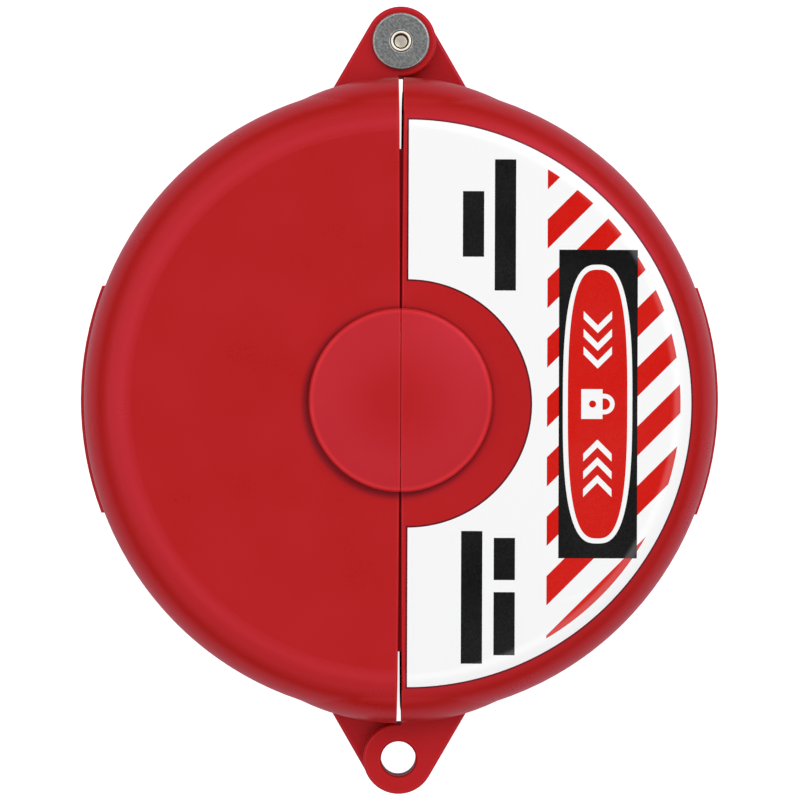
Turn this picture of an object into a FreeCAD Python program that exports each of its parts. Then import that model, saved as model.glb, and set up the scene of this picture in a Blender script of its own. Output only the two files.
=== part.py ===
"""Gate valve lockout: two half-round plastic shells that swing shut round a valve handwheel.

Frame: origin on the drum's axis, at the plane of its back face. +Z points out of the front face, +Y points
to the hinge pin and -Y to the padlock eye. The left shell is on -X and the right shell on +X.
Both shells are the same moulding, and the right one is the left one turned half a turn about Z. The same
goes for the two stem plugs. All sizes are in millimetres, and all angles in degrees.
"""

import FreeCAD
import Part

import math
import os

from FreeCAD import Vector

# Drum: the closed shape of the two shells together
body_radius = 90.0
body_depth = 56.0
wall = 3.0
front_edge_radius = 14.0
back_edge_radius = 6.0

# Seam between the shells. Its edges are crowned, so the gap opens from the middle to the rim.
seam_gap_middle = 0.35
seam_gap_rim = 1.4
seam_edge_radius = 0.5
seam_rounding_end = 82.0

# Lugs. The hinge pin and the padlock share one hole size, because the moulding is used both ways round.
lug_distance = 102.75
lug_tip_radius = 10.1
lug_flank_angle = 30.0
lug_thickness = 6.0
lug_gap = 0.4
lug_hole_radius = 5.0
lug_edge_radius = 0.8
lug_hole_chamfer = 0.5
lug_root_distance = 79.0

# At the lugs the wall swells, from a little way down the rounded edge to the foot of the lug. The swelling is
# rounder than the drum, so it sinks into the drum's wall on both sides of the lug.
swelling_reach = 2.0
swelling_radius = 64.0
swelling_half_width = 30.0
swelling_start_angle = 25.0
swelling_middle_angle = 60.0
swelling_middle_reach = 0.95
swelling_start_depth = 0.3

# Finger grips on the side walls
grip_height = 1.3
grip_half_width = 32.5
grip_bottom = 9.0
grip_top = 35.0
grip_groove_radius = 1.0
grip_groove_depth = 0.7
grip_groove_count = 5

# Openings for the valve stem: one through the back wall, and one in the front wall that the plugs close
stem_hole_radius = 20.0
stem_hole_chamfer = 0.8
front_hole_radius = 22.0
collar_wall = 2.5
collar_height = 2.6

# Overlap lips behind the seam, and the stiffening ribs on the inner faces
lip_collar_gap = 0.5
lip_end = 71.0
lip_reach = 3.0
lip_root = 4.0
lip_thickness = 2.0
lip_clearance = 0.25
rib_thickness = 1.6
rib_height = 2.2
rib_places = (34.0, 56.0)
rib_seam_distance = 9.0

# Stem plugs: a domed half disc with a skirt that stands in the front hole, and two keys against turning
plug_radius = 25.9
plug_edge_height = 2.8
plug_crown = 3.2
plug_edge_radius = 1.0
plug_seam_gap = 0.12
plug_seam_edge_radius = 0.2
plug_seat_gap = 0.05
plug_skirt_clearance = 0.12
plug_skirt_wall = 1.8
plug_skirt_depth = 6.0
key_radius = 0.9
key_clearance = 0.12
key_angles = (130.0, 230.0)

# Hinge stack: a semi-tubular rivet through a spacer bushing, with a countersunk washer at each end
stack_play = 0.4
bushing_clearance = 0.05
bushing_chamfer = 0.35
washer_radius = 8.1
washer_thickness = 1.5
washer_chamfer = 0.35
washer_sink_radius = 3.3
washer_sink_depth = 0.6
rivet_radius = 2.5
rivet_clearance = 0.1
rivet_head_radius = 4.8
rivet_head_height = 1.6
rivet_head_edge = 0.5
rivet_rim_outer_radius = 2.95
rivet_rim_inner_radius = 2.2
rivet_hole_radius = 1.8
rivet_hole_depth = 3.2
rivet_flare_depth = 1.2
rivet_hole_tip_depth = 0.9

# Label: a half ring of vinyl on the right shell's front face, which laps on to the rounded edge
label_centre_x = 2.1
label_centre_y = -0.9
label_outer_radius = 80.0
label_inner_radius = 35.0
label_thickness = 0.2
adhesive_gap = 0.02

# Worked out from the sizes above
z_axis = Vector(0, 0, 1)
parting_z = body_depth / 2.0
rear_lug_bottom = parting_z - lug_gap / 2.0 - lug_thickness
front_lug_bottom = parting_z + lug_gap / 2.0
front_inside = body_depth - wall
back_inside = wall
stack_bottom = rear_lug_bottom - stack_play / 2.0
stack_top = front_lug_bottom + lug_thickness + stack_play / 2.0
pin_hole_radius = rivet_radius + rivet_clearance

# For cutting tools
far = 150.0
overcut = 1.0
tolerance = 0.01


# Shape helpers


def line(a, b):
    """Straight edge in the XZ plane, between two points (x, z)."""
    return Part.makeLine(Vector(a[0], 0, a[1]), Vector(b[0], 0, b[1]))


def arc(a, middle, b):
    """Arc in the XZ plane through three points (x, z)."""
    points = [Vector(p[0], 0, p[1]) for p in (a, middle, b)]
    return Part.Arc(*points).toShape()


def polyline(points):
    return [line(a, b) for a, b in zip(points, points[1:])]


def turned(edges):
    """Full turn about Z of a closed outline drawn in the XZ plane."""
    return Part.Face(Part.Wire(edges)).revolve(Vector(0, 0, 0), z_axis, 360)


def cylinder(radius, bottom, top, x=0.0, y=0.0):
    return Part.makeCylinder(radius, top - bottom, Vector(x, y, bottom), z_axis)


def cone(radius_bottom, radius_top, bottom, top, x=0.0, y=0.0):
    return Part.makeCone(radius_bottom, radius_top, top - bottom, Vector(x, y, bottom), z_axis)


def block(x, y, z):
    """Box from three (low, high) pairs."""
    size = [high - low for low, high in (x, y, z)]
    return Part.makeBox(*size, Vector(x[0], y[0], z[0]))


def polar(radius, angle):
    """Plan point (x, y) at an angle from +X."""
    return radius * math.cos(math.radians(angle)), radius * math.sin(math.radians(angle))


def middle_of(edge):
    start, end = edge.ParameterRange
    return edge.valueAt((start + end) / 2.0)


def half_turn(shape):
    """The same piece turned 180 degrees about Z, for the other side."""
    copy = shape.copy()
    copy.rotate(Vector(0, 0, 0), z_axis, 180)
    return copy


def other_end(shape):
    """The same shape mirrored from the hinge end to the padlock end."""
    return shape.mirror(Vector(0, 0, 0), Vector(0, 1, 0))


def on_hinge_axis(shape):
    copy = shape.copy()
    copy.translate(Vector(0, lug_distance, 0))
    return copy


# Shells


def drum(inset):
    """The closed drum with every face moved inwards by inset, or outwards if it is negative."""
    radius = body_radius - inset
    low, high = inset, body_depth - inset
    back, front = back_edge_radius - inset, front_edge_radius - inset
    slant = math.sqrt(0.5)
    back_middle = (radius - back + back * slant, low + back - back * slant)
    front_middle = (radius - front + front * slant, high - front + front * slant)
    return turned([
        line((0, low), (radius - back, low)),
        arc((radius - back, low), back_middle, (radius, low + back)),
        line((radius, low + back), (radius, high - front)),
        arc((radius, high - front), front_middle, (radius - front, high)),
        line((radius - front, high), (0, high)),
        line((0, high), (0, low)),
    ])


def left_of_seam():
    """Everything on the left shell's side of the crowned seam."""
    middle, rim = -seam_gap_middle / 2.0, -seam_gap_rim / 2.0
    crown_end = body_radius + overcut
    bottom, height = -overcut, body_depth + 2.0 * overcut
    corners = [Vector(x, y, bottom) for x, y in (
        (rim, crown_end), (rim, far), (-far, far), (-far, -far), (rim, -far), (rim, -crown_end))]
    edges = [Part.makeLine(a, b) for a, b in zip(corners, corners[1:])]
    edges.append(Part.Arc(corners[-1], Vector(middle, 0, bottom), corners[0]).toShape())
    return Part.Face(Part.Wire(edges)).extrude(Vector(0, 0, height))


def lug_outline(low, high, inset=0.0):
    """Prism of a whole lug at the hinge end: a round tip, and straight flanks that run into the drum."""
    angle = math.radians(lug_flank_angle)
    tip_radius = lug_tip_radius - inset
    tip_x = tip_radius * math.cos(angle)
    tip_y = lug_distance + tip_radius * math.sin(angle)
    root_x = tip_x + (tip_y - lug_root_distance) * math.tan(angle)
    left_tip, right_tip = Vector(-tip_x, tip_y, low), Vector(tip_x, tip_y, low)
    left_root, right_root = Vector(-root_x, lug_root_distance, low), Vector(root_x, lug_root_distance, low)
    outline = Part.Wire([
        Part.makeLine(left_root, left_tip),
        Part.Arc(left_tip, Vector(0, lug_distance + tip_radius, low), right_tip).toShape(),
        Part.makeLine(right_tip, right_root),
        Part.makeLine(right_root, left_root),
    ])
    return Part.Face(outline).extrude(Vector(0, 0, high - low))


def rounded_lug(bottom):
    """A whole lug with rounded outline edges, and the swelling of the drum's wall that it grows from."""
    top = bottom + lug_thickness
    prism = lug_outline(bottom, top)
    outline = []
    for edge in prism.Edges:
        point = middle_of(edge)
        on_face = min(abs(point.z - height) for height in (bottom, top)) < tolerance
        if on_face and point.y > body_radius - wall:
            outline.append(edge)
    return prism.makeFillet(lug_edge_radius, outline).fuse(swollen_wall(bottom))


def swollen_wall(bottom):
    """The rim of a smaller drum, which stands out of the drum's wall at the lug and sinks into it beside."""
    axis_y = body_radius + swelling_reach - swelling_radius
    wall_radius = body_radius - axis_y

    def on_edge(angle, reach):
        """Point (x, z) so far outside the front's rounded edge, at an angle from straight up."""
        x, z = polar(front_edge_radius + reach, 90.0 - angle)
        return wall_radius - front_edge_radius + x, body_depth - front_edge_radius + z

    start = on_edge(swelling_start_angle, -swelling_start_depth)
    middle = on_edge(swelling_middle_angle, swelling_middle_reach)
    end = on_edge(90.0, swelling_reach)
    low = bottom - swelling_reach
    ring = turned([
        arc(start, middle, end),
        *polyline([end, (end[0], bottom), (wall_radius, low), (start[0], low), start]),
    ])
    across = (-swelling_half_width, swelling_half_width)
    at_lug = block(across, (lug_root_distance, far), (0, body_depth))
    return ring.translated(Vector(0, axis_y, 0)).common(at_lug)


def lug_eye(bottom):
    """The round end of a lug, which crosses the seam."""
    disc = cylinder(lug_tip_radius, bottom, bottom + lug_thickness, 0.0, lug_distance)
    rims = [edge for edge in disc.Edges if edge.Closed]
    return disc.makeFillet(lug_edge_radius, rims)


def lug_hole(bottom):
    """Cutting tool for a lug's hole, with a chamfer at both faces."""
    top = bottom + lug_thickness
    wide = lug_hole_radius + lug_hole_chamfer
    tool = cylinder(lug_hole_radius, bottom - overcut, top + overcut)
    tool = tool.fuse(cone(wide, lug_hole_radius, bottom, bottom + lug_hole_chamfer))
    tool = tool.fuse(cone(lug_hole_radius, wide, top - lug_hole_chamfer, top))
    return on_hinge_axis(tool)


def seam_rounding():
    """What the seam's rounded outer edges take off the left half of the drum, except across the lugs."""
    half = drum(0).common(left_of_seam()).removeSplitter()
    outer_faces = drum(0).Shells[0]
    edges = []
    for edge in half.Edges:
        outside = outer_faces.distToShape(Part.Vertex(middle_of(edge)))[0] < tolerance
        runs_along_seam = edge.BoundBox.XMin > -seam_gap_rim
        if outside and runs_along_seam:
            edges.append(edge)
    removed = half.cut(half.makeFillet(seam_edge_radius, edges))
    at_hinge, at_padlock = [
        block((-far, far), (seam_rounding_end, far), (bottom - swelling_reach, body_depth))
        for bottom in (front_lug_bottom, rear_lug_bottom)]
    return removed.cut([at_hinge, other_end(at_padlock)])


def half_body():
    """The left half of the drum with its lugs, still solid. The front lug is at the hinge end."""
    front, rear = rounded_lug(front_lug_bottom), other_end(rounded_lug(rear_lug_bottom))
    closed = drum(0).fuse([front, rear]).removeSplitter()
    half = closed.common(left_of_seam()).cut(seam_rounding())
    return half.fuse([lug_eye(front_lug_bottom), other_end(lug_eye(rear_lug_bottom))])


def grip():
    """Raised finger grip on the left side wall, with grooves that run round the drum."""
    buried, outer = body_radius - overcut, body_radius + grip_height
    pad = turned(polyline([
        (buried, grip_bottom),
        (body_radius, grip_bottom),
        (outer, grip_bottom + grip_height),
        (outer, grip_top - grip_height),
        (body_radius, grip_top),
        (buried, grip_top),
        (buried, grip_bottom),
    ]))
    pitch = (grip_top - grip_bottom) / (grip_groove_count + 1)
    groove_centre = outer + grip_groove_radius - grip_groove_depth
    for i in range(grip_groove_count):
        height = grip_bottom + pitch * (i + 1)
        pad = pad.cut(Part.makeTorus(groove_centre, grip_groove_radius, Vector(0, 0, height), z_axis))
    return pad.common(block((-far, 0.0), (-grip_half_width, grip_half_width), (0.0, body_depth)))


def lip(bottom, wall_side, hole_radius):
    """Overlap lip behind the seam, joined to the wall on its wall_side (+1 above it, -1 below it).

    It starts beside the collar round that wall's hole. It reaches past the other shell's edge, and lies clear
    of that shell's wall by lip_clearance.
    """
    span = (hole_radius + collar_wall + lip_collar_gap, lip_end)
    across = block((-lip_root, lip_reach), span, (bottom, bottom + lip_thickness))
    shifted = bottom + wall_side * lip_clearance
    root = block((-lip_root, -seam_gap_rim), span,
                 (min(bottom, shifted), max(bottom, shifted) + lip_thickness))
    return across.fuse(root)


def inner_details(cavity):
    """Collars round the two stem openings, and ribs along X on the inside of both flat walls."""
    collars = [
        cylinder(front_hole_radius + collar_wall, front_inside - collar_height, front_inside),
        cylinder(stem_hole_radius + collar_wall, back_inside, back_inside + collar_height),
    ]
    ribs = []
    length = (-body_radius, -rib_seam_distance)
    for y in rib_places:
        for middle in (y, -y):
            width = (middle - rib_thickness / 2.0, middle + rib_thickness / 2.0)
            ribs.append(block(length, width, (front_inside - rib_height, front_inside)))
            ribs.append(block(length, width, (back_inside, back_inside + rib_height)))
    limits = cavity.common(left_of_seam())
    return [piece.common(limits) for piece in collars + ribs]


def shell():
    """The left shell, as one moulding."""
    cavity = drum(wall)
    body = half_body().fuse(grip()).removeSplitter().cut(cavity)
    body = body.fuse(inner_details(cavity))
    body = body.fuse([
        lip(front_inside - lip_clearance - lip_thickness, 1.0, front_hole_radius),
        lip(back_inside + lip_clearance, -1.0, stem_hole_radius),
    ])
    front_hole_span = (front_inside - collar_height - overcut, body_depth + overcut)
    tools = [
        cylinder(stem_hole_radius, -overcut, back_inside + collar_height + overcut),
        cone(stem_hole_radius + stem_hole_chamfer, stem_hole_radius, 0.0, stem_hole_chamfer),
        cylinder(front_hole_radius, *front_hole_span),
        lug_hole(front_lug_bottom),
        other_end(lug_hole(rear_lug_bottom)),
    ]
    for angle in key_angles:
        x, y = polar(front_hole_radius - plug_skirt_clearance, angle)
        tools.append(cylinder(key_radius + key_clearance, *front_hole_span, x, y))
    return body.cut(tools).removeSplitter()


# Stem plugs


def plug_disc(bottom):
    """The whole domed disc that the two plugs make, with a rounded rim."""
    edge_top = body_depth + plug_edge_height
    crown = edge_top + plug_crown
    dome_radius = (plug_radius ** 2 + plug_crown ** 2) / (2.0 * plug_crown)
    middle_x = plug_radius / 2.0
    middle_z = crown - dome_radius + math.sqrt(dome_radius ** 2 - middle_x ** 2)
    disc = turned([
        line((0, bottom), (plug_radius, bottom)),
        line((plug_radius, bottom), (plug_radius, edge_top)),
        arc((plug_radius, edge_top), (middle_x, middle_z), (0, crown)),
        line((0, crown), (0, bottom)),
    ])
    rim = [edge for edge in disc.Edges
           if abs(edge.CenterOfMass.z - edge_top) < tolerance and edge.Length > plug_radius]
    return disc.makeFillet(plug_edge_radius, rim)


def stem_plug():
    """The left half of the plug that closes the front opening."""
    bottom = body_depth + plug_seat_gap
    skirt_radius = front_hole_radius - plug_skirt_clearance
    skirt_bottom, skirt_top = body_depth - plug_skirt_depth, bottom + overcut
    skirt = cylinder(skirt_radius, skirt_bottom, skirt_top)
    for angle in key_angles:
        skirt = skirt.fuse(cylinder(key_radius, skirt_bottom, skirt_top, *polar(skirt_radius, angle)))
    hollow = cylinder(skirt_radius - plug_skirt_wall, skirt_bottom - overcut, bottom)
    seam_wall_inside = -plug_seam_gap / 2.0 - plug_skirt_wall
    hollow = hollow.common(block((-far, seam_wall_inside), (-far, far), (0.0, far)))
    plug = plug_disc(bottom).fuse(skirt).cut(hollow)
    left_side = block((-far, -plug_seam_gap / 2.0), (-far, far), (0.0, far))
    plug = plug.common(left_side).removeSplitter()
    dome_edge = [edge for edge in plug.Edges
                 if edge.BoundBox.XMin > -plug_seam_gap and middle_of(edge).z > body_depth + plug_edge_height]
    return plug.makeFillet(plug_seam_edge_radius, dome_edge)


# Hinge stack


def washer(inner_face, outwards):
    """Flat washer with a chamfered rim and a countersunk hole. outwards is +1 in front and -1 behind."""
    def height(above_inner_face):
        return inner_face + outwards * above_inner_face
    top = washer_thickness
    return on_hinge_axis(turned(polyline([
        (pin_hole_radius, height(0.0)),
        (washer_radius - washer_chamfer, height(0.0)),
        (washer_radius, height(washer_chamfer)),
        (washer_radius, height(top - washer_chamfer)),
        (washer_radius - washer_chamfer, height(top)),
        (washer_sink_radius, height(top)),
        (pin_hole_radius, height(top - washer_sink_depth)),
        (pin_hole_radius, height(0.0)),
    ])))


def bushing():
    """Spacer tube that fills the lug holes and sets the distance between the washers."""
    outer = lug_hole_radius - bushing_clearance
    return on_hinge_axis(turned(polyline([
        (pin_hole_radius, stack_bottom),
        (outer - bushing_chamfer, stack_bottom),
        (outer, stack_bottom + bushing_chamfer),
        (outer, stack_top - bushing_chamfer),
        (outer - bushing_chamfer, stack_top),
        (pin_hole_radius, stack_top),
        (pin_hole_radius, stack_bottom),
    ])))


def rivet():
    """Semi-tubular rivet: a low domed head behind, and a flared end with a rolled rim in front."""
    under_head = stack_bottom - washer_thickness
    head_end = under_head - rivet_head_height
    head_rim = under_head - rivet_head_edge
    dome_height = head_rim - head_end
    dome_radius = (rivet_head_radius ** 2 + dome_height ** 2) / (2.0 * dome_height)
    dome_x = rivet_head_radius / 2.0
    dome_z = head_end + dome_radius - math.sqrt(dome_radius ** 2 - dome_x ** 2)

    top = stack_top + washer_thickness
    sink_bottom = top - washer_sink_depth
    rim_middle = (rivet_rim_outer_radius + rivet_rim_inner_radius) / 2.0
    rim_height = (rivet_rim_outer_radius - rivet_rim_inner_radius) / 2.0
    hole_bottom = top - rivet_hole_depth
    flare_bottom = top - rivet_flare_depth
    return on_hinge_axis(turned([
        arc((0, head_end), (dome_x, dome_z), (rivet_head_radius, head_rim)),
        *polyline([
            (rivet_head_radius, head_rim),
            (rivet_head_radius, under_head),
            (rivet_radius, under_head),
            (rivet_radius, sink_bottom),
            (rivet_rim_outer_radius, top),
        ]),
        arc((rivet_rim_outer_radius, top), (rim_middle, top + rim_height), (rivet_rim_inner_radius, top)),
        *polyline([
            (rivet_rim_inner_radius, top),
            (rivet_hole_radius, flare_bottom),
            (rivet_hole_radius, hole_bottom),
            (0, hole_bottom - rivet_hole_tip_depth),
            (0, head_end),
        ]),
    ]))


# Label


def label():
    """Vinyl half ring that follows the front face and the start of the rounded edge."""
    sheet = drum(-adhesive_gap - label_thickness).cut(drum(-adhesive_gap))
    ring = cylinder(label_outer_radius, parting_z, far, label_centre_x, label_centre_y)
    ring = ring.cut(cylinder(label_inner_radius, 0.0, 2.0 * far, label_centre_x, label_centre_y))
    right_half = block((label_centre_x, far), (-far, far), (0.0, far))
    return sheet.common(ring).common(right_half).removeSplitter()


def save(name, shape):
    assert shape.isValid() and len(shape.Solids) == 1, name
    shape.Solids[0].exportStep("parts/%s.step" % name)
    print("%-16s volume %.1f mm3" % (name, shape.Volume))


os.makedirs("parts", exist_ok=True)
left_shell = shell()
left_stem_plug = stem_plug()

save("left_shell", left_shell)
save("right_shell", half_turn(left_shell))
save("left_stem_plug", left_stem_plug)
save("right_stem_plug", half_turn(left_stem_plug))
save("hazard_label", label())
save("hinge_rivet", rivet())
save("hinge_bushing", bushing())
save("front_washer", washer(stack_top, 1.0))
save("rear_washer", washer(stack_bottom, -1.0))
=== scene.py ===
import math

import bpy
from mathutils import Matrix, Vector
from mathutils.geometry import delaunay_2d_cdt


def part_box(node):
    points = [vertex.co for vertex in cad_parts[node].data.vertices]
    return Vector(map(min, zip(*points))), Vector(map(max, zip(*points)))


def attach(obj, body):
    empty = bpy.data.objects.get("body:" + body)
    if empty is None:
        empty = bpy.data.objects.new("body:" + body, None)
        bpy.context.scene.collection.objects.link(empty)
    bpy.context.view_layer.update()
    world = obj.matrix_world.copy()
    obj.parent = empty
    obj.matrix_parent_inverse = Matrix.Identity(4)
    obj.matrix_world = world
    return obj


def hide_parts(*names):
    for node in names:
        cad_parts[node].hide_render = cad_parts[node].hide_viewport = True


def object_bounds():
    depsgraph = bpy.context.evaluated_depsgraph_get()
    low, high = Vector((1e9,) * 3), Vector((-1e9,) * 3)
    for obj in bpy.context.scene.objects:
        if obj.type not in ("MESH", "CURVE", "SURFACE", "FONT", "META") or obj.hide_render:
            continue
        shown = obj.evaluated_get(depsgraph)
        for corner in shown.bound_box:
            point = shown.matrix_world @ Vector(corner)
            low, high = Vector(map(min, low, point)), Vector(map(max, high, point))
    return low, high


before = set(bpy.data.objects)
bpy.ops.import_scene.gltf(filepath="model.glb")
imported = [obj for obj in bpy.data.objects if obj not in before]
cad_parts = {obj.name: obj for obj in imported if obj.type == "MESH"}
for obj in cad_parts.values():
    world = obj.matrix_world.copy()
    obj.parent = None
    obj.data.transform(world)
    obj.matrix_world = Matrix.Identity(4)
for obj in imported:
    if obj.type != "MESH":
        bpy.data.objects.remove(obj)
bpy.context.view_layer.update()
cad_low, cad_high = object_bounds()

mm = 0.001

# The drum's front, as the CAD has it: a flat face, then a rounded edge that runs into the side wall
drum_radius = 90.0 * mm
front_edge_radius = 14.0 * mm
flat_radius = drum_radius - front_edge_radius
front_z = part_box("left_shell")[1].z
washer_low, washer_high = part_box("front_washer")
hinge_y = (washer_low.y + washer_high.y) / 2.0
plug_radius = -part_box("left_stem_plug")[0].x

# Wear, painted highlights and painted shade on the plastic. The plugs hide the upper right of the ring of
# painted shadow round their seat, because the ring's centre is shifted down and to the left.
padlock_hole_radius = 5.0 * mm
worn_and_lit_edge = 1.2 * mm
plug_highlight_start = 1.7 * mm
plug_highlight_end = 0.8 * mm
seat_shadow_shift = 0.7 * mm
seat_shadow_width = 1.8 * mm
seat_shadow_share = 0.6
label_shadow_width = 0.6 * mm
thick_shade_share = 0.9
face_tolerance = 0.2 * mm

# The camera looks at the front face from almost straight above, a little to the left and rolled a little
camera_height = 1.4
camera_x = -15.0 * mm
camera_roll = math.radians(0.2)
framed_width = 227.8 * mm
framed_z = 42.0 * mm


# Node helpers


def new_material(name):
    """Returns (material, node tree, Principled shader)."""
    made = bpy.data.materials.new(name)
    made.use_nodes = True
    return made, made.node_tree, made.node_tree.nodes["Principled BSDF"]


def connect(tree, value, socket):
    """Links value to a socket if it is a socket, and otherwise sets it."""
    if isinstance(value, bpy.types.NodeSocket):
        tree.links.new(value, socket)
    else:
        socket.default_value = value


def node(tree, kind, inputs, **settings):
    """Adds a node. inputs are its sockets by name or number, and settings are its properties."""
    made = tree.nodes.new(kind)
    for key, value in settings.items():
        setattr(made, key, value)
    for key, value in inputs.items():
        connect(tree, value, made.inputs[key])
    return made


def place(tree):
    """Position in the object's own frame, in metres."""
    return node(tree, "ShaderNodeTexCoord", {}).outputs["Object"]


def level(tree):
    """Height above the back face."""
    return node(tree, "ShaderNodeSeparateXYZ", {"Vector": place(tree)}).outputs["Z"]


def from_axis(tree, x, y):
    """Distance from an upright axis."""
    inputs = {0: place(tree), 1: (x, y, 0.0)}
    offset = node(tree, "ShaderNodeVectorMath", inputs, operation="SUBTRACT").outputs[0]
    inputs = {0: offset, 1: (1.0, 1.0, 0.0)}
    flat = node(tree, "ShaderNodeVectorMath", inputs, operation="MULTIPLY").outputs[0]
    return node(tree, "ShaderNodeVectorMath", {0: flat}, operation="LENGTH").outputs["Value"]


def noise(tree, size, detail=2.0, at=None):
    """Noise whose lumps are about as wide as size."""
    inputs = {"Vector": at or place(tree), "Scale": 1.0 / size, "Detail": detail}
    return node(tree, "ShaderNodeTexNoise", inputs).outputs["Fac"]


def remap(tree, value, low, high, from_low=0.3, from_high=0.7):
    """Stretches from_low..from_high to low..high, and clamps what is outside."""
    inputs = {"Value": value, "To Min": low, "To Max": high, "From Min": from_low, "From Max": from_high}
    return node(tree, "ShaderNodeMapRange", inputs).outputs["Result"]


def combine(tree, operation, a, b=0.0):
    """Result of a maths node."""
    return node(tree, "ShaderNodeMath", {0: a, 1: b}, operation=operation).outputs[0]


def largest(tree, first, *others):
    """The largest of several values."""
    result = first
    for other in others:
        result = combine(tree, "MAXIMUM", result, other)
    return result


def mix(tree, share, a, b):
    """Colour between a and b."""
    # On this node, 6 and 7 are the colour sockets
    return node(tree, "ShaderNodeMix", {0: share, 6: a, 7: b}, data_type="RGBA").outputs[2]


def bump(tree, height, depth, under=None):
    """Normal for a surface whose height runs from 0 to depth, in metres."""
    inputs = {"Height": height, "Distance": depth, "Strength": 1.0}
    if under is not None:
        inputs["Normal"] = under
    return node(tree, "ShaderNodeBump", inputs).outputs["Normal"]


def edge_share(tree, radius):
    """1 on sharp edges and 0 away from them, over about radius."""
    rounded = node(tree, "ShaderNodeBevel", {"Radius": radius}, samples=4).outputs["Normal"]
    true = node(tree, "ShaderNodeNewGeometry", {}).outputs["Normal"]
    inputs = {0: rounded, 1: true}
    alike = node(tree, "ShaderNodeVectorMath", inputs, operation="DOT_PRODUCT").outputs["Value"]
    return remap(tree, alike, 1.0, 0.0, 0.80, 0.995)


# Materials


# Sizes and heights of the marks on the plastic, the vinyl and the steel
flow_mark = 45.0 * mm
fine_speckle = 0.6 * mm
# Patches along the plastic's lightened edges, which are partly wear and partly a painted highlight
worn_and_lit_patch = 6.0 * mm
gloss_patch = 18.0 * mm
wave_size, wave_height = 14.0 * mm, 0.06 * mm
grain_size, grain_height = 0.32 * mm, 0.016 * mm
vinyl_speckle = 0.5 * mm
vinyl_cloud = 30.0 * mm
vinyl_gloss_patch = 9.0 * mm
peel_size, peel_height = 1.6 * mm, 0.006 * mm
scratch_width, scratch_length = 0.28 * mm, 1.4 * mm
scratch_angle = math.radians(-40.0)
mottle_size = 0.6 * mm
lathe_ring_width = 0.3 * mm
steel_mark_height = 0.006 * mm
# Width of the steel's lightened edges, which are partly wear and partly a painted highlight
worn_and_glinting_edge = 0.3 * mm
tumbled_edge = 0.35 * mm
hollow_start, hollow_end = 1.5 * mm, 1.7 * mm


def red_plastic():
    """Moulded plastic: a fine grain, faint flow marks, edges lightened by wear and a painted highlight, and
    painted shade.
    """
    made, tree, shader = new_material("red_plastic")
    base = (0.422, 0.0099, 0.0059, 1.0)
    deep = (0.397, 0.0088, 0.0052, 1.0)
    # Light red for the edges: partly wear, partly a painted highlight
    rubbed_and_lit = (0.620, 0.021, 0.019, 1.0)
    # Near black: painted shade
    plastic_shade_colour = (0.020, 0.002, 0.003, 1.0)
    flow = remap(tree, noise(tree, flow_mark, 3.0), 0.0, 1.0)
    speckle = remap(tree, noise(tree, fine_speckle, 4.0), 0.0, 1.0)
    colour = mix(tree, combine(tree, "MULTIPLY", flow, 0.6), base, deep)
    colour = mix(tree, combine(tree, "MULTIPLY", speckle, 0.35), colour, deep)
    # Edges and the plugs' rounded rim are lightened: wear on the edges, and a painted highlight on both
    worn_and_lit = largest(tree, edge_share(tree, worn_and_lit_edge), plug_rim_highlight(tree))
    wear_and_highlight = combine(tree, "MULTIPLY", worn_and_lit, remap(tree, noise(tree, worn_and_lit_patch), 0.6, 1.0))
    colour = mix(tree, wear_and_highlight, colour, rubbed_and_lit)
    # Painted shadow beside the label's edge and round the plugs' seat, and painted shade in the padlock
    # hole
    painted_shade = largest(tree, label_edge_shadow(tree), hole_shade(tree), seat_shadow(tree))
    connect(tree, mix(tree, painted_shade, colour, plastic_shade_colour), shader.inputs["Base Color"])

    patches = remap(tree, noise(tree, gloss_patch, 4.0), 0.26, 0.32)
    roughness = combine(tree, "ADD", patches, combine(tree, "MULTIPLY", speckle, 0.04))
    connect(tree, roughness, shader.inputs["Roughness"])
    shader.inputs["IOR"].default_value = 1.56
    shader.inputs["Specular IOR Level"].default_value = 0.8
    shader.inputs["Specular Tint"].default_value = (1.0, 0.15, 0.275, 1.0)

    waves = bump(tree, noise(tree, wave_size, 1.0), wave_height)
    grain = bump(tree, noise(tree, grain_size, 3.0), grain_height, waves)
    connect(tree, grain, shader.inputs["Normal"])
    return made


def plug_rim_highlight(tree):
    """0.9 on the plugs' rounded edge and 0 inside it: where a highlight is painted."""
    raised = combine(tree, "GREATER_THAN", level(tree), front_z + 0.5 * mm)
    start, end = plug_radius - plug_highlight_start, plug_radius - plug_highlight_end
    outward = remap(tree, from_axis(tree, 0.0, 0.0), 0.0, 0.9, start, end)
    return combine(tree, "MULTIPLY", raised, outward)


def label_edge_shadow(tree):
    """High beside the label's edge and 0 elsewhere: a painted shadow along the film's edge."""
    across = node(tree, "ShaderNodeSeparateXYZ", {"Vector": place(tree)}).outputs["X"]
    radius = from_axis(tree, label_x, label_y)
    past_outer = combine(tree, "SUBTRACT", radius, label_outer)
    past_inner = combine(tree, "SUBTRACT", label_inner, radius)
    past_side = combine(tree, "SUBTRACT", label_x, across)
    outside = largest(tree, past_outer, past_inner, past_side)
    near = remap(tree, outside, thick_shade_share, 0.0, label_shadow_width * 0.6, label_shadow_width)
    return combine(tree, "MULTIPLY", near, on_front(tree))


def on_front(tree):
    """1 on the drum's front surface and its rounded edge, and 0 inside the drum."""
    highest, lowest = front_z - 1.0 * mm, front_z - front_edge_radius
    limit = remap(tree, from_axis(tree, 0.0, 0.0), highest, lowest, flat_radius, drum_radius)
    return combine(tree, "GREATER_THAN", level(tree), limit)


def hole_shade(tree):
    """High on the wall of the padlock hole and 0 elsewhere: where shade is painted."""
    start, end = padlock_hole_radius, padlock_hole_radius + face_tolerance
    return remap(tree, from_axis(tree, 0.0, -hinge_y), thick_shade_share, 0.0, start, end)


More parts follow.
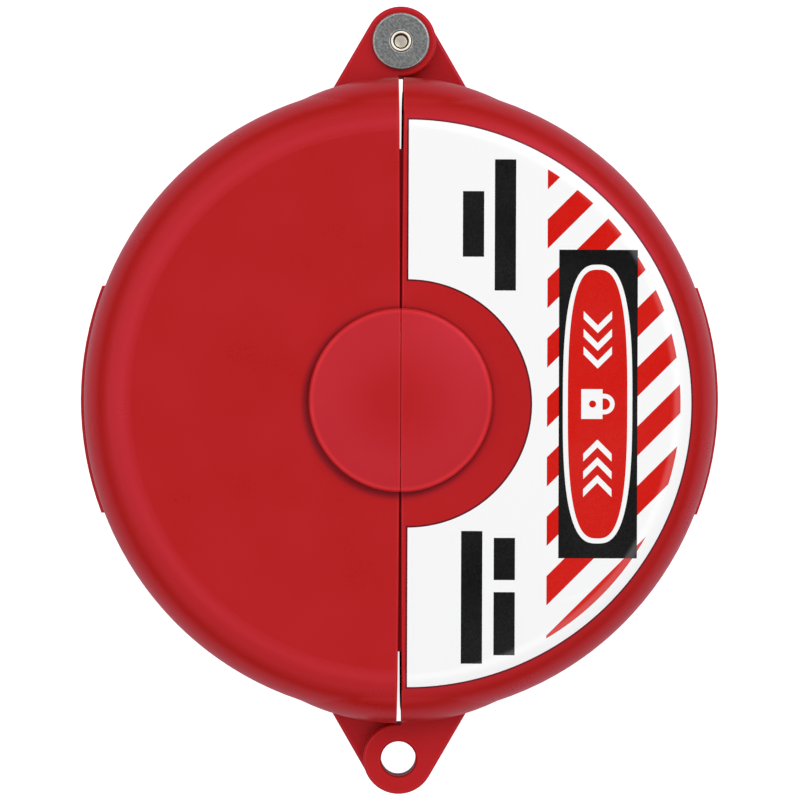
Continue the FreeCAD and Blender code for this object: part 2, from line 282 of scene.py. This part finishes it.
def seat_shadow(tree):
    """Ring of painted shadow on the front face beside the plugs, which cover its upper right side."""
    # A painted shadow: its ring is shifted down and to the left, so the plugs hide its upper right
    radius = from_axis(tree, -seat_shadow_shift, -seat_shadow_shift)
    start, end = plug_radius + 0.1 * mm, plug_radius + seat_shadow_width
    outward = remap(tree, radius, seat_shadow_share, 0.0, start, end)
    inward = remap(tree, radius, 0.0, 1.0, plug_radius - 2.0 * mm, plug_radius - 1.0 * mm)
    inputs = {0: level(tree), 1: front_z, 2: face_tolerance}
    on_face = node(tree, "ShaderNodeMath", inputs, operation="COMPARE").outputs[0]
    return combine(tree, "MULTIPLY", combine(tree, "MULTIPLY", outward, inward), on_face)


def vinyl(name, ink, roughness):
    """Printed vinyl in one ink: a smooth film with a faint orange peel and dust-fine speckle."""
    made, tree, shader = new_material(name)
    mid_grey, fading = 0.5, 0.05
    faded = tuple(c + (mid_grey - c) * fading for c in ink[:3]) + (1.0,)
    speckle = remap(tree, noise(tree, vinyl_speckle, 3.0), 0.0, 0.5)
    cloud = remap(tree, noise(tree, vinyl_cloud, 2.0), 0.0, 0.5)
    share = combine(tree, "MULTIPLY", combine(tree, "ADD", speckle, cloud), 0.6)
    connect(tree, mix(tree, share, ink, faded), shader.inputs["Base Color"])
    gloss = remap(tree, noise(tree, vinyl_gloss_patch, 3.0), roughness - 0.02, roughness + 0.03)
    connect(tree, gloss, shader.inputs["Roughness"])
    peel = bump(tree, noise(tree, peel_size, 2.0), peel_height)
    connect(tree, peel, shader.inputs["Normal"])
    return made


def streaks(tree, width, length, angle):
    """Noise whose lumps are drawn out along an angle in the XY plane."""
    inputs = {"Vector": place(tree), "Rotation": (0.0, 0.0, angle), "Scale": (length / width, 1.0, 1.0)}
    drawn_out = node(tree, "ShaderNodeMapping", inputs, vector_type="TEXTURE").outputs[0]
    return noise(tree, width, 4.0, drawn_out)


def steel(name, colour, roughness, marks, contrast, shade_strength):
    """Steel with the marks of its making, edges lightened by wear and a painted highlight, and painted
    shade on upright walls and in the rivet's hollow.
    """
    made, tree, shader = new_material(name)
    dark = tuple(c * (1.0 - contrast) for c in colour) + (1.0,)
    light = tuple(c * (1.0 + contrast) for c in colour) + (1.0,)
    rubbed_and_lit = (0.90, 0.89, 0.87, 1.0)
    steel_shade_colour = (0.02, 0.018, 0.015, 1.0)
    grain = marks(tree)
    # Edges turn near white: wear on the steel and a painted highlight
    worn_and_glinting = edge_share(tree, worn_and_glinting_edge)
    tone = mix(tree, remap(tree, grain, 0.0, 1.0), dark, light)
    # Painted shade on upright walls and in the rivet's hollow end; the last argument sets how strong it is
    shaded = largest(tree, steepness(tree), rivet_hollow_shade(tree))
    tone = mix(tree, combine(tree, "MULTIPLY", shaded, shade_strength), tone, steel_shade_colour)
    connect(tree, mix(tree, worn_and_glinting, tone, rubbed_and_lit), shader.inputs["Base Color"])
    shader.inputs["Metallic"].default_value = 1.0
    connect(tree, remap(tree, grain, roughness - 0.06, roughness + 0.08), shader.inputs["Roughness"])
    connect(tree, bump(tree, grain, steel_mark_height, worn_normal(tree)), shader.inputs["Normal"])
    return made


def worn_normal(tree):
    """Normal of chamfers and edges that tumbling has made rounder and flatter."""
    lean = 0.45
    rounded = node(tree, "ShaderNodeBevel", {"Radius": tumbled_edge}, samples=8).outputs["Normal"]
    inputs = {0: rounded, 1: (lean, lean, 1.0)}
    flatter = node(tree, "ShaderNodeVectorMath", inputs, operation="MULTIPLY").outputs[0]
    return node(tree, "ShaderNodeVectorMath", {0: flatter}, operation="NORMALIZE").outputs[0]


def steepness(tree):
    """0 where the surface lies flat and 1 where it stands upright."""
    normal = node(tree, "ShaderNodeNewGeometry", {}).outputs["Normal"]
    up = node(tree, "ShaderNodeSeparateXYZ", {"Vector": normal}).outputs["Z"]
    return remap(tree, combine(tree, "ABSOLUTE", up), 1.0, 0.0, 0.3, 0.8)


def rivet_hollow_shade(tree):
    """0.4 in the rivet's hollow end and 0 outside it: where shade is painted."""
    return remap(tree, from_axis(tree, 0.0, hinge_y), 0.4, 0.0, hollow_start, hollow_end)


def tumbled(tree):
    """Marks of a stamped and tumbled sheet: short scratches one way over a fine mottle."""
    scratches = streaks(tree, scratch_width, scratch_length, scratch_angle)
    return mix(tree, 0.5, scratches, noise(tree, mottle_size, 5.0))


def turned(tree):
    """Marks of a lathe: fine rings about the hinge axis."""
    rings_at = node(tree, "ShaderNodeCombineXYZ", {"X": from_axis(tree, 0.0, hinge_y)}).outputs[0]
    return noise(tree, lathe_ring_width, 2.0, rings_at)


def paint(node_names, material):
    """Gives CAD nodes a material in place of the one they were packed with."""
    for name in node_names:
        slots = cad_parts[name].data.materials
        slots.clear()
        slots.append(material)


# Label: one sheet of vinyl, cut into triangles along the edges of its print


inner_to_outer = 0.4375
label_low, label_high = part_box("hazard_label")
label_x = label_low.x
label_y = (label_low.y + label_high.y) / 2.0
label_outer = (label_high.y - label_low.y) / 2.0
label_inner = label_outer * inner_to_outer
film_gap = 0.02 * mm
film_thickness = 0.2 * mm
bend_steps = 8
bend_step = 0.8 * mm

# The print, in places (x, y) from the drum's axis
stripes_left = 41.3 * mm
stripes_margin = 3.1 * mm
stripe_pitch = 16.76 * mm
stripe_height = 8.3 * mm
stripe_phase = 42.8 * mm
stripe_count = 18
stripes_below = 12
panel_x = (44.6 * mm, 66.8 * mm)
panel_y = (-44.4 * mm, 42.6 * mm)
oval_centre = (55.55 * mm, -0.9 * mm)
oval_outer = (9.8 * mm, 39.3 * mm)
oval_ring = 1.4 * mm
oval_power = 2.8
bars = [
    ((26.4 * mm, 32.4 * mm), (31.0 * mm, 68.0 * mm)),
    ((17.4 * mm, 23.4 * mm), (40.5 * mm, 59.0 * mm)),
    ((26.4 * mm, 32.4 * mm), (-50.6 * mm, -38.7 * mm)),
    ((26.4 * mm, 32.4 * mm), (-71.8 * mm, -54.0 * mm)),
    ((17.2 * mm, 23.2 * mm), (-74.2 * mm, -36.8 * mm)),
]
padlock_half_width = 4.2 * mm
padlock_drop = 4.6 * mm
padlock_shoulder = 1.4 * mm
keyhole_up = -1.4 * mm
keyhole_radius = 1.0 * mm
bow_centre_up = 1.9 * mm
bow_outer = 2.9 * mm
bow_inner = 1.6 * mm
chevron_tips = [10.0 * mm, 15.0 * mm, 20.0 * mm]
chevron_width = 2.2 * mm
chevron_half_height = 4.0 * mm
WHITE, RED, BLACK = 0, 1, 2


def circle_points(centre, radii, count, start=0.0, end=360.0):
    """Points on an ellipse, from angle start to end."""
    steps = [math.radians(start + (end - start) * i / count) for i in range(count + 1)]
    return [(centre[0] + radii[0] * math.cos(a), centre[1] + radii[1] * math.sin(a)) for a in steps]


def rectangle_points(x, y):
    """Corners of a rectangle from two (low, high) pairs, and the first one again."""
    return [(x[0], y[0]), (x[1], y[0]), (x[1], y[1]), (x[0], y[1]), (x[0], y[0])]


def in_rectangle(x, y, box_x, box_y):
    return box_x[0] < x < box_x[1] and box_y[0] < y < box_y[1]


def oval_points(shrink):
    """Points on the oval, which is fuller towards its corners than an ellipse."""
    points = []
    for x, y in circle_points((0.0, 0.0), (1.0, 1.0), 160):
        across = math.copysign(abs(x) ** (2.0 / oval_power), x) * (oval_outer[0] - shrink)
        along = math.copysign(abs(y) ** (2.0 / oval_power), y) * (oval_outer[1] - shrink)
        points.append((oval_centre[0] + across, oval_centre[1] + along))
    return points


def in_oval(x, y, shrink=0.0):
    across = abs(x - oval_centre[0]) / (oval_outer[0] - shrink)
    along = abs(y - oval_centre[1]) / (oval_outer[1] - shrink)
    return across ** oval_power + along ** oval_power < 1.0


def in_stripe(x, y):
    inside = math.hypot(x - label_x, y - label_y) < label_outer - stripes_margin
    if x < stripes_left or not inside:
        return False
    return (y - (x - stripes_left) - stripe_phase) % stripe_pitch < stripe_height


def to_sign(x, y, centre_y):
    """Point in the frame of a sign on the oval, whose top faces +X: (across, up)."""
    return centre_y - y, x - oval_centre[0]


def in_padlock(x, y):
    """A padlock seen from the front: a block with a keyhole under a bow."""
    across, up = to_sign(x, y, oval_centre[1])
    if abs(across) < padlock_half_width and -padlock_drop < up < padlock_shoulder:
        return math.hypot(across, up - keyhole_up) > keyhole_radius
    bow = math.hypot(across, max(0.0, up - bow_centre_up))
    return padlock_shoulder < up and bow_inner < bow < bow_outer


def in_chevron(x, y):
    """Arrow heads on the oval, that point at the padlock from both ends."""
    along = abs(y - oval_centre[1])
    up = abs(x - oval_centre[0])
    for tip in chevron_tips:
        past_tip = along - tip - up
        if 0.0 < past_tip < chevron_width and up < chevron_half_height:
            return True
    return False


def ink_at(x, y):
    """Which ink the print has at a point."""
    if in_padlock(x, y) or in_chevron(x, y):
        return WHITE
    if in_oval(x, y, oval_ring):
        return RED
    if in_oval(x, y):
        return WHITE
    if in_rectangle(x, y, panel_x, panel_y):
        return BLACK
    if in_stripe(x, y):
        return RED
    if any(in_rectangle(x, y, *bar) for bar in bars):
        return BLACK
    return WHITE


def print_lines():
    """Every line that the film is cut along: its outline, the bend over the drum's edge, and the print."""
    centre = (label_x, label_y)
    outline = circle_points(centre, (label_outer, label_outer), 180, -90.0, 90.0)
    outline += circle_points(centre, (label_inner, label_inner), 120, 90.0, -90.0)
    lines = [outline + outline[:1]]
    for step in range(bend_steps):
        radius = flat_radius + step * bend_step
        lines.append(circle_points((0.0, 0.0), (radius, radius), 180, -90.0, 90.0))

    edge = label_outer - stripes_margin
    lines.append(circle_points(centre, (edge, edge), 160, -80.0, 80.0))
    lines.append([(stripes_left, -edge), (stripes_left, edge)])
    for step in range(stripe_count):
        lower_edge = stripe_phase + (step - stripes_below) * stripe_pitch
        for start in (lower_edge, lower_edge + stripe_height):
            lines.append([(stripes_left, start), (stripes_left + label_outer, start + label_outer)])

    lines.append(rectangle_points(panel_x, panel_y))
    lines += [oval_points(0.0), oval_points(oval_ring)]
    lines += [rectangle_points(*bar) for bar in bars]
    return lines + sign_lines()


def sign_lines():
    """Outlines of the padlock and the chevrons."""
    def from_sign(points):
        return [(oval_centre[0] + up, oval_centre[1] - across) for across, up in points]

    wide = padlock_half_width
    lines = [from_sign(rectangle_points((-wide, wide), (-padlock_drop, padlock_shoulder)))]
    lines.append(from_sign(circle_points((0.0, keyhole_up), (keyhole_radius, keyhole_radius), 32)))
    for radius in (bow_inner, bow_outer):
        arch = circle_points((0.0, bow_centre_up), (radius, radius), 32, 0.0, 180.0)
        lines.append(from_sign([(radius, padlock_shoulder)] + arch + [(-radius, padlock_shoulder)]))
    for tip in chevron_tips:
        for side in (-1.0, 1.0):
            half = chevron_half_height
            points = [(tip, 0.0), (tip + half, half), (tip + half + chevron_width, half),
                      (tip + chevron_width, 0.0), (tip + half + chevron_width, -half), (tip + half, -half),
                      (tip, 0.0)]
            lines.append(from_sign([(side * along, up) for along, up in points]))
    return lines


def in_film(x, y):
    return x > label_x and label_inner < math.hypot(x - label_x, y - label_y) < label_outer


def drum_face(x, y):
    """Height of the drum's front surface."""
    past_flat = max(0.0, math.hypot(x, y) - flat_radius)
    return front_z - front_edge_radius + math.sqrt(front_edge_radius ** 2 - past_flat ** 2)


def cut_film():
    """Points and triangles of the film, cut along the print's lines."""
    points = []
    edges = []
    for line in print_lines():
        first = len(points)
        points += [Vector(point) for point in line]
        edges += [(first + i, first + i + 1) for i in range(len(line) - 1)]
    cut = delaunay_2d_cdt(points, edges, [], 0, 1e-7)
    triangles = []
    for triangle in cut[2]:
        middle = sum((cut[0][i] for i in triangle), Vector((0.0, 0.0))) / 3.0
        if in_film(middle.x, middle.y):
            triangles.append((tuple(triangle), ink_at(middle.x, middle.y)))
    return cut[0], triangles


def rim_edges(triangles):
    """Directed edges that belong to one triangle only."""
    found = set()
    for triangle, _ in triangles:
        for i in range(3):
            edge = (triangle[i], triangle[(i + 1) % 3])
            if edge[::-1] in found:
                found.remove(edge[::-1])
            else:
                found.add(edge)
    return sorted(found)


def printed_label(materials):
    """The film as a closed sheet that follows the drum: printed top, plain underside and cut rim."""
    flat, triangles = cut_film()
    used = sorted({i for triangle, _ in triangles for i in triangle})
    number = {old: new for new, old in enumerate(used)}
    count = len(used)
    verts = []
    for lift in (film_gap + film_thickness, film_gap):
        verts += [(flat[i].x, flat[i].y, drum_face(flat[i].x, flat[i].y) + lift) for i in used]
    faces = []
    inks = []
    for triangle, ink in triangles:
        a, b, c = (number[i] for i in triangle)
        faces += [(a, b, c), (count + c, count + b, count + a)]
        inks += [ink, WHITE]
    for start, end in rim_edges(triangles):
        a, b = number[start], number[end]
        faces.append((b, a, count + a, count + b))
        inks.append(WHITE)

    mesh = bpy.data.meshes.new("printed_label")
    mesh.from_pydata(verts, [], faces)
    for material in materials:
        mesh.materials.append(material)
    mesh.polygons.foreach_set("material_index", inks)
    mesh.shade_smooth()
    mesh.set_sharp_from_angle(angle=math.radians(50.0))
    made = bpy.data.objects.new("printed_label", mesh)
    bpy.context.scene.collection.objects.link(made)
    return made


label = printed_label([
    vinyl("white_vinyl", (0.88, 0.88, 0.885, 1.0), 0.13),
    vinyl("red_ink", (0.60, 0.006, 0.002, 1.0), 0.12),
    vinyl("black_ink", (0.004, 0.004, 0.004, 1.0), 0.12),
])
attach(label, "right_half")
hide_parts("hazard_label")


# Materials of the CAD nodes


plastic = red_plastic()
paint(["left_shell", "right_shell", "left_stem_plug", "right_stem_plug"], plastic)
tumbled_steel = steel(
    "tumbled_steel", (0.22, 0.225, 0.225), roughness=0.34, marks=tumbled, contrast=0.65, shade_strength=0.0)
paint(["front_washer", "rear_washer"], tumbled_steel)
# The turned steel gets painted shade on its upright walls and in the rivet's hollow
turned_steel = steel(
    "turned_steel", (0.76, 0.69, 0.58), roughness=0.40, marks=turned, contrast=0.12, shade_strength=0.8)
paint(["hinge_rivet", "hinge_bushing"], turned_steel)


# Studio


def studio_world():
    """Soft rings of light round the sky, each so many degrees down from straight above."""
    world = bpy.data.worlds.new("studio")
    world.use_nodes = True
    tree = world.node_tree
    direction = node(tree, "ShaderNodeTexCoord", {}).outputs["Generated"]
    up = node(tree, "ShaderNodeSeparateXYZ", {"Vector": direction}).outputs["Z"]
    tilt = combine(tree, "ARCCOSINE", up)
    total = 0.0
    for start, end, strength in sky_rings:
        past_start = remap(tree, tilt, 0.0, strength, *around(start))
        before_end = remap(tree, tilt, 1.0, 0.0, *around(end))
        total = combine(tree, "ADD", total, combine(tree, "MULTIPLY", past_start, before_end))
    background = tree.nodes["Background"]
    background.inputs["Color"].default_value = (1.0, 1.0, 1.0, 1.0)
    connect(tree, total, background.inputs["Strength"])
    bpy.context.scene.world = world


def around(tilt):
    """Where a ring's soft edge at a tilt in degrees starts and ends."""
    return math.radians(tilt - ring_softness), math.radians(tilt + ring_softness)


def soft_box(name, tilt, azimuth, power):
    """Square area light that faces the origin, so many degrees down from straight above."""
    light = bpy.data.lights.new(name, "AREA")
    light.energy = power
    light.shape = "SQUARE"
    light.size = soft_box_size
    lamp = bpy.data.objects.new(name, light)
    lamp.rotation_euler = (0.0, math.radians(tilt), math.radians(azimuth))
    towards = Vector((0.0, 0.0, 1.0))
    towards.rotate(lamp.rotation_euler)
    lamp.location = towards * soft_box_distance
    bpy.context.scene.collection.objects.link(lamp)


def floor():
    """Pale floor: almost white to the camera, so that it shows through the seam, and pink to the object."""
    made, tree, shader = new_material("pale_floor")
    clouds = remap(tree, noise(tree, 60.0 * mm, 3.0), 0.0, 1.0)
    tone = mix(tree, clouds, (0.71, 0.47, 0.56, 1.0), (0.73, 0.49, 0.58, 1.0))
    connect(tree, tone, shader.inputs["Base Color"])
    shader.inputs["Roughness"].default_value = 0.9
    shader.inputs["Specular IOR Level"].default_value = 0.0
    seen = node(tree, "ShaderNodeLightPath", {}).outputs["Is Camera Ray"]
    shader.inputs["Emission Color"].default_value = (1.0, 1.0, 1.0, 1.0)
    connect(tree, combine(tree, "MULTIPLY", seen, floor_glow), shader.inputs["Emission Strength"])
    half = floor_size / 2.0
    corners = [(-half, -half), (half, -half), (half, half), (-half, half)]
    mesh = bpy.data.meshes.new("floor")
    mesh.from_pydata([(x, y, cad_low.z - 0.1 * mm) for x, y in corners], [], [(0, 1, 2, 3)])
    mesh.materials.append(made)
    ground = bpy.data.objects.new("floor", mesh)
    bpy.context.scene.collection.objects.link(ground)


sky_rings = [(14.0, 30.0, 1.80), (30.0, 70.0, 0.87)]
ring_softness = 4.0
soft_box_distance = 2.0
soft_box_size = 1.2
floor_size = 12.0
floor_glow = 0.85
studio_world()
floor()
soft_box("key", 45.0, 45.0, 8.7)
soft_box("left_fill", 45.0, 180.0, 2.6)
soft_box("upper_left_fill", 45.0, 135.0, 1.5)

camera = bpy.data.cameras.new("camera")
camera.lens = camera.sensor_width * (camera_height - framed_z) / framed_width
camera.clip_start = 0.05
camera.clip_end = 20.0
viewpoint = bpy.data.objects.new("camera", camera)
viewpoint.location = (camera_x, 0.0, camera_height)
viewpoint.rotation_euler = (0.0, math.atan2(camera_x, camera_height - framed_z), camera_roll)
bpy.context.scene.collection.objects.link(viewpoint)
bpy.context.scene.camera = viewpoint
bpy.context.scene.view_settings.view_transform = "Standard"

bpy.context.view_layer.update()
